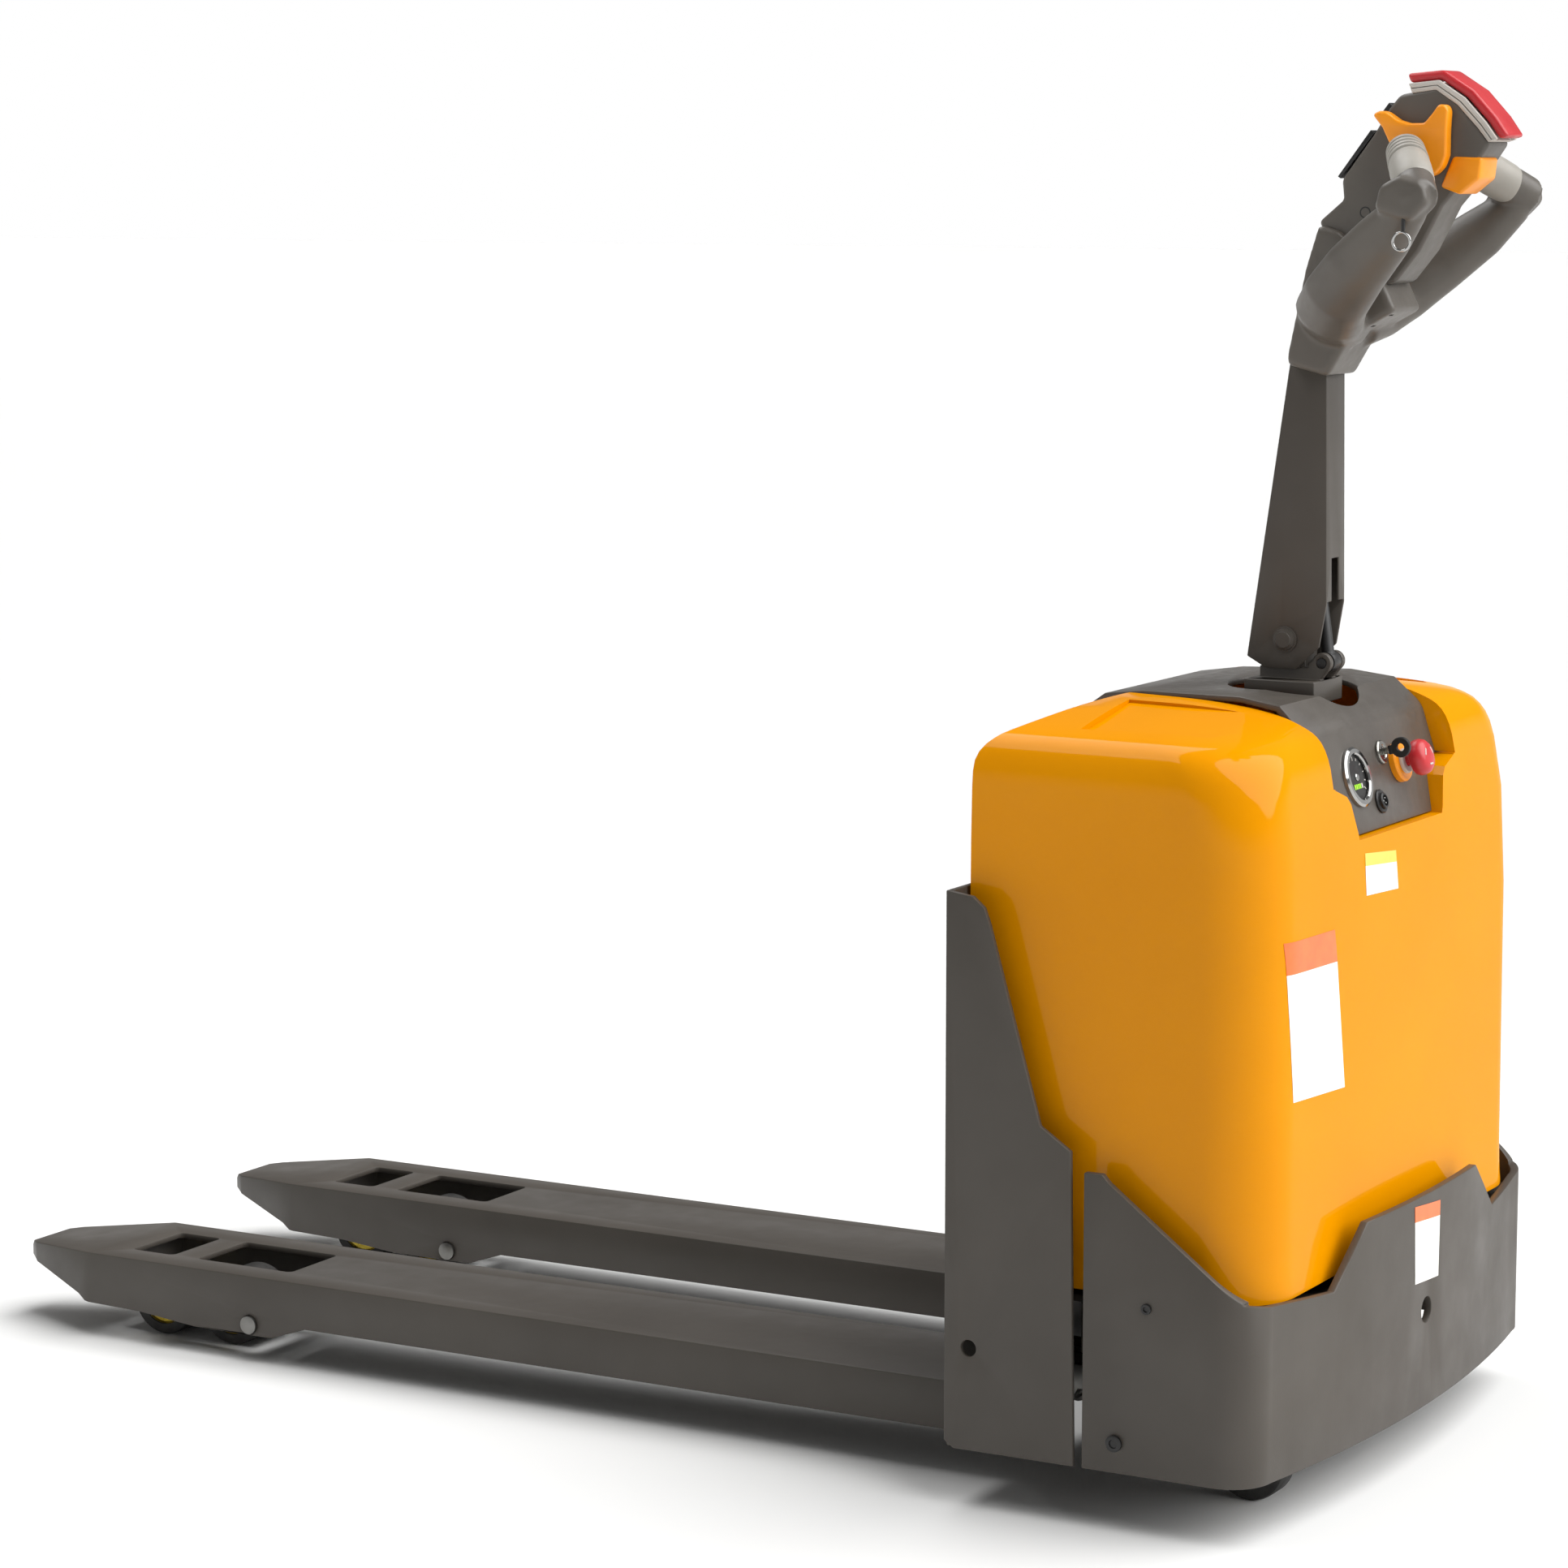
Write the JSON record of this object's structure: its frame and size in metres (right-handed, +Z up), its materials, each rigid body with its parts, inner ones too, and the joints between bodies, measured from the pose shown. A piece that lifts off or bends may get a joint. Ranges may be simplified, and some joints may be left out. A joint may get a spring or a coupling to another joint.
{
  "type": "electric pallet truck",
  "caption": "Walk-behind electric pallet truck with two forks, load rollers, steered drive wheel, glossy hood and a tilting tiller head.",
  "frame": {"origin": "on the floor, under the middle of the overall length and width", "axes": "-X towards the fork tips, +X towards the operator and tiller, Y across the truck, +Z up"},
  "size_m": [1.635, 0.726, 1.36],
  "materials": {
    "grey_paint": "satin powder coat",
    "yellow_hood": "glossy gel coat",
    "panel_plastic": "fine moulded texture",
    "black_plastic": "satin",
    "red_plastic": "satin",
    "yellow_plastic": "satin",
    "grip_plastic": "satin",
    "trim_plastic": "satin",
    "steel": "machined",
    "zinc": "bright zinc",
    "cast_iron": "cast, painted",
    "aluminium": "cast fins",
    "polyurethane": "moulded tread",
    "battery_case": "moulded"
  },
  "bodies": {
    "root": {"chassis_frame": "grey_paint", "guide_rails": "steel", "lift_cylinder": "cast_iron", "battery_left": "battery_case", "battery_right": "battery_case", "motor_controller": "aluminium", "hydraulic_unit": "battery_case", "hood": "yellow_hood", "top_panel": "panel_plastic", "battery_gauge": "black_plastic", "key_switch": "zinc", "panel_socket": "black_plastic", "emergency_stop_base": "yellow_plastic", "slew_ring": "steel", "side_bolts": "zinc"},
    "key": {"key": "black_plastic"},
    "emergency_stop": {"emergency_stop_button": "red_plastic"},
    "steering": {"drive_gearbox": "cast_iron", "drive_motor": "cast_iron", "steering_column": "grey_paint"},
    "drive_wheel": {"drive_wheel_hub": "cast_iron", "drive_wheel_tyre": "polyurethane"},
    "tiller": {"tiller_arm": "grey_paint", "tiller_pivot_pin": "steel", "head_pod": "panel_plastic", "head_yoke": "panel_plastic", "head_trim": "trim_plastic", "display_plate": "black_plastic", "lanyard_ring": "zinc", "grip_left": "grip_plastic", "grip_right": "grip_plastic"},
    "throttle": {"throttle_shaft": "steel", "butterfly_left": "yellow_plastic", "butterfly_right": "yellow_plastic"},
    "belly_button": {"belly_button": "red_plastic"},
    "lift_rocker": {"lift_rocker": "black_plastic"},
    "spring_tube": {"gas_spring_tube": "black_plastic"},
    "spring_rod": {"gas_spring_rod": "steel"},
    "carriage": {"carriage_frame": "grey_paint", "carriage_wing_left": "grey_paint", "carriage_wing_right": "grey_paint", "slide_pads": "black_plastic", "fork_left": "grey_paint", "fork_right": "grey_paint", "lift_piston_rod": "steel"},
    "linkage_shaft": {"linkage_shaft": "steel"},
    "push_rod_left": {"push_rod_left": "steel"},
    "load_arm_left": {"load_arm_left": "steel"},
    "bogie_left": {"bogie_left": "steel"},
    "front_roller_left": {"front_roller_left": "polyurethane"},
    "rear_roller_left": {"rear_roller_left": "polyurethane"},
    "castor_fork_left": {"castor_fork_left": "steel"},
    "castor_wheel_left": {"castor_wheel_left": "polyurethane"},
    "push_rod_right": {"push_rod_right": "steel"},
    "load_arm_right": {"load_arm_right": "steel"},
    "bogie_right": {"bogie_right": "steel"},
    "front_roller_right": {"front_roller_right": "polyurethane"},
    "rear_roller_right": {"rear_roller_right": "polyurethane"},
    "castor_fork_right": {"castor_fork_right": "steel"},
    "castor_wheel_right": {"castor_wheel_right": "polyurethane"}
  },
  "joints": [
    {"name": "lift", "type": "slide", "parent": "root", "child": "carriage", "axis": [0, 0, 1], "range_m": [-0.01, 0.095]},
    {"name": "steer", "type": "hinge", "parent": "root", "child": "steering", "pos_m": [0.5985, 0, 0.105], "axis": [0, 0, 1], "range_deg": [-90, 90]},
    {"name": "drive_spin", "type": "hinge", "parent": "steering", "child": "drive_wheel", "pos_m": [0.5985, 0, 0.105], "axis": [0, 1, 0], "continuous": true},
    {"name": "tiller_tilt", "type": "hinge", "parent": "steering", "child": "tiller", "pos_m": [0.5985, 0, 0.812], "axis": [0, 1, 0], "range_deg": [0, 80], "stiffness_Nm_per_rad": 40, "springref_deg": -34.38},
    {"name": "throttle_turn", "type": "hinge", "parent": "tiller", "child": "throttle", "pos_m": [0.7285, 0, 1.284], "axis": [0, 1, 0], "range_deg": [-30, 30], "stiffness_Nm_per_rad": 1},
    {"name": "belly_press", "type": "slide", "parent": "tiller", "child": "belly_button", "axis": [-0.7071, 0, -0.7071], "range_m": [0, 0.003], "stiffness_N_per_m": 1500},
    {"name": "rocker_turn", "type": "hinge", "parent": "tiller", "child": "lift_rocker", "pos_m": [0.6895, 0, 1.32], "axis": [0, 1, 0], "range_deg": [-6, 6], "stiffness_Nm_per_rad": 0.15},
    {"name": "spring_swing", "type": "hinge", "parent": "steering", "child": "spring_tube", "pos_m": [0.6355, 0, 0.79], "axis": [0, 1, 0], "range_deg": [-1, 90]},
    {"name": "spring_stroke", "type": "slide", "parent": "spring_tube", "child": "spring_rod", "axis": [-0.1414, 0, 0.9899], "range_m": [-0.07, 0.002]},
    {"name": "key_turn", "type": "hinge", "parent": "root", "child": "key", "pos_m": [0.68453, 0.016, 0.702], "axis": [0.9588, 0, 0.284], "range_deg": [0, 90]},
    {"name": "stop_press", "type": "slide", "parent": "root", "child": "emergency_stop", "axis": [-0.9588, 0, -0.284], "range_m": [0, 0.005]},
    {"name": "crank_turn", "type": "hinge", "parent": "carriage", "child": "linkage_shaft", "pos_m": [0.4405, 0, 0.1016], "axis": [0, 1, 0], "range_deg": [-7.26, 64.7]},
    {"name": "rod_turn_left", "type": "hinge", "parent": "load_arm_left", "child": "push_rod_left", "pos_m": [-0.46709, -0.19, 0.06791], "axis": [0, -1, 0], "range_deg": [-64.7, 7.26]},
    {"name": "load_arm_turn_left", "type": "hinge", "parent": "carriage", "child": "load_arm_left", "pos_m": [-0.4815, -0.19, 0.0416], "axis": [0, -1, 0], "range_deg": [-7.26, 64.7]},
    {"name": "bogie_turn_left", "type": "hinge", "parent": "load_arm_left", "child": "bogie_left", "pos_m": [-0.58879, -0.19, 0.04], "axis": [0, -1, 0], "range_deg": [-64.7, 7.26]},
    {"name": "front_roller_spin_left", "type": "hinge", "parent": "bogie_left", "child": "front_roller_left", "pos_m": [-0.63444, -0.19, 0.04], "axis": [0, 1, 0], "continuous": true},
    {"name": "rear_roller_spin_left", "type": "hinge", "parent": "bogie_left", "child": "rear_roller_left", "pos_m": [-0.54314, -0.19, 0.04], "axis": [0, 1, 0], "continuous": true},
    {"name": "castor_swivel_left", "type": "hinge", "parent": "root", "child": "castor_fork_left", "pos_m": [0.6265, -0.19, 0.142], "axis": [0, 0, 1], "continuous": true},
    {"name": "castor_spin_left", "type": "hinge", "parent": "castor_fork_left", "child": "castor_wheel_left", "pos_m": [0.6515, -0.19, 0.037], "axis": [0, 1, 0], "continuous": true},
    {"name": "rod_turn_right", "type": "hinge", "parent": "load_arm_right", "child": "push_rod_right", "pos_m": [-0.46709, 0.19, 0.06791], "axis": [0, -1, 0], "range_deg": [-64.7, 7.26]},
    {"name": "load_arm_turn_right", "type": "hinge", "parent": "carriage", "child": "load_arm_right", "pos_m": [-0.4815, 0.19, 0.0416], "axis": [0, -1, 0], "range_deg": [-7.26, 64.7]},
    {"name": "bogie_turn_right", "type": "hinge", "parent": "load_arm_right", "child": "bogie_right", "pos_m": [-0.58879, 0.19, 0.04], "axis": [0, -1, 0], "range_deg": [-64.7, 7.26]},
    {"name": "front_roller_spin_right", "type": "hinge", "parent": "bogie_right", "child": "front_roller_right", "pos_m": [-0.63444, 0.19, 0.04], "axis": [0, 1, 0], "continuous": true},
    {"name": "rear_roller_spin_right", "type": "hinge", "parent": "bogie_right", "child": "rear_roller_right", "pos_m": [-0.54314, 0.19, 0.04], "axis": [0, 1, 0], "continuous": true},
    {"name": "castor_swivel_right", "type": "hinge", "parent": "root", "child": "castor_fork_right", "pos_m": [0.6265, 0.19, 0.142], "axis": [0, 0, 1], "continuous": true},
    {"name": "castor_spin_right", "type": "hinge", "parent": "castor_fork_right", "child": "castor_wheel_right", "pos_m": [0.6515, 0.19, 0.037], "axis": [0, 1, 0], "continuous": true}
  ],
  "couplings": [
    {"joint": "crank_turn", "follows": "lift", "rad_per_m": 11.795},
    {"joint": "rod_turn_left", "follows": "lift", "rad_per_m": -11.795},
    {"joint": "load_arm_turn_left", "follows": "lift", "rad_per_m": 11.795},
    {"joint": "bogie_turn_left", "follows": "lift", "rad_per_m": -11.795},
    {"joint": "rod_turn_right", "follows": "lift", "rad_per_m": -11.795},
    {"joint": "load_arm_turn_right", "follows": "lift", "rad_per_m": 11.795},
    {"joint": "bogie_turn_right", "follows": "lift", "rad_per_m": -11.795},
    {"joint": "spring_swing", "follows": "tiller_tilt", "ratio": 1.005},
    {"joint": "spring_stroke", "follows": "tiller_tilt", "m_per_rad": -0.039623}
  ]
}
